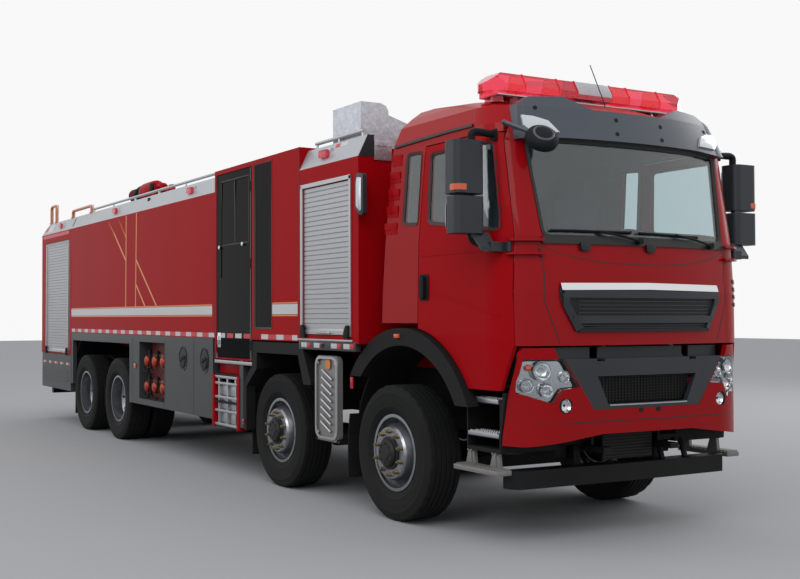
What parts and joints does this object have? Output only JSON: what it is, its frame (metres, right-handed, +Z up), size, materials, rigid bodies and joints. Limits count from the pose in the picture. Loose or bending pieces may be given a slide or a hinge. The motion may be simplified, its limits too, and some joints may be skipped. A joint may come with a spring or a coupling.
{
  "type": "foam fire truck",
  "caption": "Forward-control fire engine with a tilting cab, a crew cabin, a water and foam tank body, roller-shutter lockers, hose inlets and a roof monitor.",
  "frame": {"origin": "on the ground, under the middle of the bounding box", "axes": "+X to the front of the vehicle, +Y to its left, +Z up"},
  "size_m": [11.7741, 2.92, 3.64],
  "materials": {
    "red_paint": "gloss",
    "dark_trim": "satin",
    "black_steel": "satin",
    "tyre": "matte",
    "wheel_steel": "satin",
    "aluminium": "brushed",
    "body_grey": "satin",
    "brass": "satin",
    "glass": "clear",
    "lamp": "clear",
    "red_lens": "clear",
    "seat_cloth": "matte"
  },
  "bodies": {
    "chassis": {"frame_rails": "black_steel", "engine": "black_steel", "axles": "black_steel", "front_bumper": "red_paint", "bumper_grille": "dark_trim", "lamps": "lamp", "underrun_bars": "black_steel", "steps": "dark_trim", "mudguards": "dark_trim", "lower_panels": "body_grey", "inlet_couplings": "brass", "locker_section": "red_paint", "tank_section": "red_paint", "rear_section": "red_paint", "roller_shutters": "aluminium", "roof_edges": "aluminium", "roof_rails": "aluminium", "roof_box": "aluminium", "crew_cabin": "red_paint", "crew_panes": "glass", "crew_bench": "seat_cloth", "monitor_base": "red_paint"},
    "cab": {"cab_shell": "red_paint", "cab_glass": "glass", "cab_visor": "dark_trim", "front_grille": "dark_trim", "light_bar": "red_lens", "cab_seats": "seat_cloth", "dashboard": "dark_trim"},
    "monitor_head": {"monitor_head": "red_paint"},
    "monitor_barrel": {"monitor_barrel": "red_paint"},
    "cab_door_left": {"door_left": "red_paint", "mirror_left": "dark_trim"},
    "crew_door_left": {"crew_door_left": "dark_trim"},
    "step_board_left": {"step_board_left": "aluminium"},
    "cab_door_right": {"door_right": "red_paint", "mirror_right": "dark_trim"},
    "crew_door_right": {"crew_door_right": "dark_trim"},
    "step_board_right": {"step_board_right": "aluminium"},
    "wheel_1_left": {"tyre_1_left": "tyre", "rim_1_left": "wheel_steel"},
    "knuckle_1_left": {"knuckle_1_left": "black_steel"},
    "wheel_1_right": {"tyre_1_right": "tyre", "rim_1_right": "wheel_steel"},
    "knuckle_1_right": {"knuckle_1_right": "black_steel"},
    "wheel_2_left": {"tyre_2_left": "tyre", "rim_2_left": "wheel_steel"},
    "knuckle_2_left": {"knuckle_2_left": "black_steel"},
    "wheel_2_right": {"tyre_2_right": "tyre", "rim_2_right": "wheel_steel"},
    "knuckle_2_right": {"knuckle_2_right": "black_steel"},
    "wheel_3_left": {"tyre_3_left": "tyre", "rim_3_left": "wheel_steel"},
    "wheel_3_right": {"tyre_3_right": "tyre", "rim_3_right": "wheel_steel"},
    "wheel_4_left": {"tyre_4_left": "tyre", "rim_4_left": "wheel_steel"},
    "wheel_4_right": {"tyre_4_right": "tyre", "rim_4_right": "wheel_steel"}
  },
  "joints": [
    {"name": "cab_tilt", "type": "hinge", "parent": "chassis", "child": "cab", "pos_m": [5.785, 0, 1.12], "axis": [0, 1, 0], "range_deg": [0, 60]},
    {"name": "monitor_yaw", "type": "hinge", "parent": "chassis", "child": "monitor_head", "pos_m": [-3.795, 0, 3.31], "axis": [0, 0, 1], "range_deg": [-170, 170]},
    {"name": "monitor_pitch", "type": "hinge", "parent": "monitor_head", "child": "monitor_barrel", "pos_m": [-3.795, 0, 3.5], "axis": [0, 1, 0], "range_deg": [-10, 70]},
    {"name": "cab_door_left", "type": "hinge", "parent": "cab", "child": "cab_door_left", "pos_m": [5.68, 1.085, 2], "axis": [0, 0, -1], "range_deg": [0, 70]},
    {"name": "crew_door_left", "type": "hinge", "parent": "chassis", "child": "crew_door_left", "pos_m": [1.941, 1.238, 2.1], "axis": [0, 0, -1], "range_deg": [0, 85]},
    {"name": "step_board_left", "type": "hinge", "parent": "chassis", "child": "step_board_left", "pos_m": [3.4475, 1.24, 0.536], "axis": [-1, 0, 0], "range_deg": [0, 90]},
    {"name": "cab_door_right", "type": "hinge", "parent": "cab", "child": "cab_door_right", "pos_m": [5.68, -1.085, 2], "axis": [0, 0, 1], "range_deg": [0, 70]},
    {"name": "crew_door_right", "type": "hinge", "parent": "chassis", "child": "crew_door_right", "pos_m": [1.941, -1.238, 2.1], "axis": [0, 0, 1], "range_deg": [0, 85]},
    {"name": "step_board_right", "type": "hinge", "parent": "chassis", "child": "step_board_right", "pos_m": [3.4475, -1.24, 0.536], "axis": [1, 0, 0], "range_deg": [0, 90]},
    {"name": "steer_1_left", "type": "hinge", "parent": "chassis", "child": "knuckle_1_left", "pos_m": [4.355, 0.85, 0.525], "axis": [0, 0, 1], "range_deg": [-35, 35]},
    {"name": "spin_1_left", "type": "hinge", "parent": "knuckle_1_left", "child": "wheel_1_left", "pos_m": [4.355, 1.033, 0.525], "axis": [0, 1, 0], "continuous": true},
    {"name": "steer_1_right", "type": "hinge", "parent": "chassis", "child": "knuckle_1_right", "pos_m": [4.355, -0.85, 0.525], "axis": [0, 0, 1], "range_deg": [-35, 35]},
    {"name": "spin_1_right", "type": "hinge", "parent": "knuckle_1_right", "child": "wheel_1_right", "pos_m": [4.355, -1.033, 0.525], "axis": [0, 1, 0], "continuous": true},
    {"name": "steer_2_left", "type": "hinge", "parent": "chassis", "child": "knuckle_2_left", "pos_m": [2.405, 0.85, 0.525], "axis": [0, 0, 1], "range_deg": [-27, 27]},
    {"name": "spin_2_left", "type": "hinge", "parent": "knuckle_2_left", "child": "wheel_2_left", "pos_m": [2.405, 1.033, 0.525], "axis": [0, 1, 0], "continuous": true},
    {"name": "steer_2_right", "type": "hinge", "parent": "chassis", "child": "knuckle_2_right", "pos_m": [2.405, -0.85, 0.525], "axis": [0, 0, 1], "range_deg": [-27, 27]},
    {"name": "spin_2_right", "type": "hinge", "parent": "knuckle_2_right", "child": "wheel_2_right", "pos_m": [2.405, -1.033, 0.525], "axis": [0, 1, 0], "continuous": true},
    {"name": "spin_3_left", "type": "hinge", "parent": "chassis", "child": "wheel_3_left", "pos_m": [-2.195, 1.08, 0.525], "axis": [0, 1, 0], "continuous": true},
    {"name": "spin_3_right", "type": "hinge", "parent": "chassis", "child": "wheel_3_right", "pos_m": [-2.195, -1.08, 0.525], "axis": [0, 1, 0], "continuous": true},
    {"name": "spin_4_left", "type": "hinge", "parent": "chassis", "child": "wheel_4_left", "pos_m": [-3.595, 1.08, 0.525], "axis": [0, 1, 0], "continuous": true},
    {"name": "spin_4_right", "type": "hinge", "parent": "chassis", "child": "wheel_4_right", "pos_m": [-3.595, -1.08, 0.525], "axis": [0, 1, 0], "continuous": true}
  ],
  "couplings": [
    {"joint": "steer_1_right", "follows": "steer_1_left", "ratio": 1},
    {"joint": "steer_2_left", "follows": "steer_1_left", "ratio": 0.74},
    {"joint": "steer_2_right", "follows": "steer_1_left", "ratio": 0.74}
  ]
}
